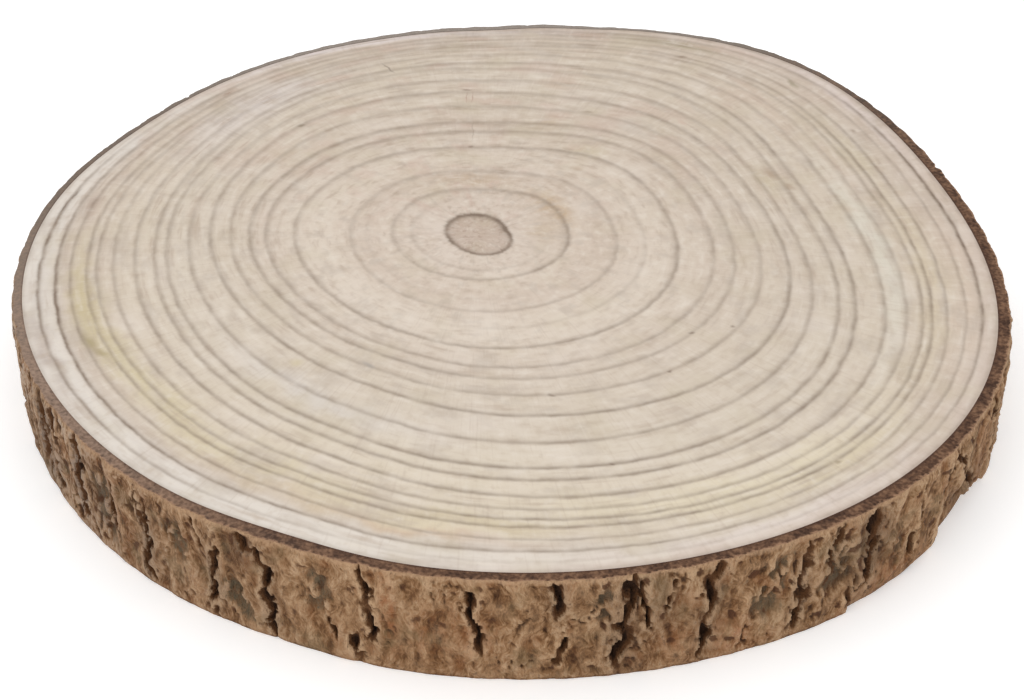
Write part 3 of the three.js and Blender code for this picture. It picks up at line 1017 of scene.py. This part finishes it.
# Then each stain and form has its own colour, laid as strongly as it is marked there, and more or less
# so by chance. The darker brown round the fissures and scars is painted shade, and so are the dark
# patches over the fissures
tone = mottle.ramp(CORK_TONES).strewn(
    (place.specks(10), 0.02, 0.2, 0.4, OLIVE_PATCH),
    (place.specks(7, stretch=(1, 1, 1.5)), -0.03, -0.18, 0.4, RED_PATCH),
    (cork.attribute("gloom"), 0.04, 0.5, 0.52, FISSURE_SHADE),
)
tone = tone.mix(grey * (mottle - 0.35).above(0) * 1.6, GREY_CORK)
tone = tone.mix(cork.attribute("ridge") * (fine * 0.8 + 0.38), PALE_RIDGE)
scarred = (cork.attribute("scar") + middling * 2 + fibres).between(0.3, 1.3)
tone = tone.mix(scarred * (fibres * 2 + 0.62), FLAKED_SCAR)
tone = tone.mix(cork.attribute("rust") * (middling * 2 + 0.35), RUST)
# Dark patches of painted shade over the fissures
tone = tone.mix(cork.attribute("dusk") * (fibres * 1.5 + 0.55), GROOVE_SHADE)
corner = (cork.attribute("below top") + middling * 2.4).between(1.7, 0.5)
# Fissures, cracks and pits are darkened by how deep they are: the darker inner bark, with painted shade
# over it
depth = cork.attribute("fissure") + fine * 0.4 + middling * 0.3
tone = tone.strewn(
    (cork.attribute("pit") + fine, 0.1, 0.7, 0.8, PIT_FLOOR_AND_SHADE),
    (cork.attribute("crack") + fine * 0.6, 0.15, 0.8, 0.85, CRACK_FLOOR_AND_SHADE),
)
tone = tone.mix(corner * (fine + 0.6) * (1 - grey * 0.5), WORN_CORNER)
tone = tone.strewn(
    (depth, 0.04, 0.24, 1, FISSURE_WALL_AND_SHADE),
    (depth, 0.26, 0.66, 1, FISSURE_FLOOR_AND_SHADE),
)
finish_with(surface, tone, roughness=0.85, sheen=0.2, lift=middling + fine, lift_size=1.1)

# Only the sawn corners stay sharp
SMOOTH_UNDER = math.radians(60)
bpy.ops.object.select_all(action="DESELECT")
slice_piece.select_set(True)
bpy.context.view_layer.objects.active = slice_piece
bpy.ops.object.shade_smooth_by_angle(angle=SMOOTH_UNDER)
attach(slice_piece, "root")
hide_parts("wood_slice")

# The floor that the slice lies on: a large, plain board, painted nearly white. It glows a little,
# so that it stays as pale as the room from the slice to the picture's edge. Its size is in metres.
FLOOR_SIZE = 6
FLOOR_PAINT = (253, 253, 253)
FLOOR_ROUGHNESS = 0.9
FLOOR_GLOW = 0.2

bpy.ops.object.select_all(action="DESELECT")
bpy.ops.mesh.primitive_plane_add(size=FLOOR_SIZE, location=(0, 0, cad_low.z))
floor = bpy.context.object
floor.name = "floor"
board = bpy.data.materials.new("White board")
board.use_nodes = True
board_surface = board.node_tree.nodes["Principled BSDF"]
board_surface.inputs["Base Color"].default_value = paint(*FLOOR_PAINT)
board_surface.inputs["Roughness"].default_value = FLOOR_ROUGHNESS
board_surface.inputs["Emission Color"].default_value = (1, 1, 1, 1)
board_surface.inputs["Emission Strength"].default_value = FLOOR_GLOW
board.cycles.emission_sampling = "NONE"
floor.data.materials.append(board)

# Light: a white room all round, and one large soft lamp above to the front left, turned towards
# the slice. Its place and size are in metres. Colours are shown as they are, with no film curve.
ROOM_BRIGHTNESS = 0.95
LAMP_PLACE = (-0.5, -0.8, 1)
LAMP_SIZE = 1.6
LAMP_WATTS = 4

world = bpy.data.worlds.new("White room")
bpy.context.scene.world = world
world.use_nodes = True
world.node_tree.nodes["Background"].inputs["Color"].default_value = (1, 1, 1, 1)
world.node_tree.nodes["Background"].inputs["Strength"].default_value = ROOM_BRIGHTNESS
bpy.ops.object.light_add(type="AREA", location=LAMP_PLACE)
lamp = bpy.context.object
lamp.data.size = LAMP_SIZE
lamp.data.energy = LAMP_WATTS
lamp.rotation_euler = (-lamp.location).to_track_quat("-Z", "Y").to_euler()
bpy.context.scene.view_settings.view_transform = "Standard"
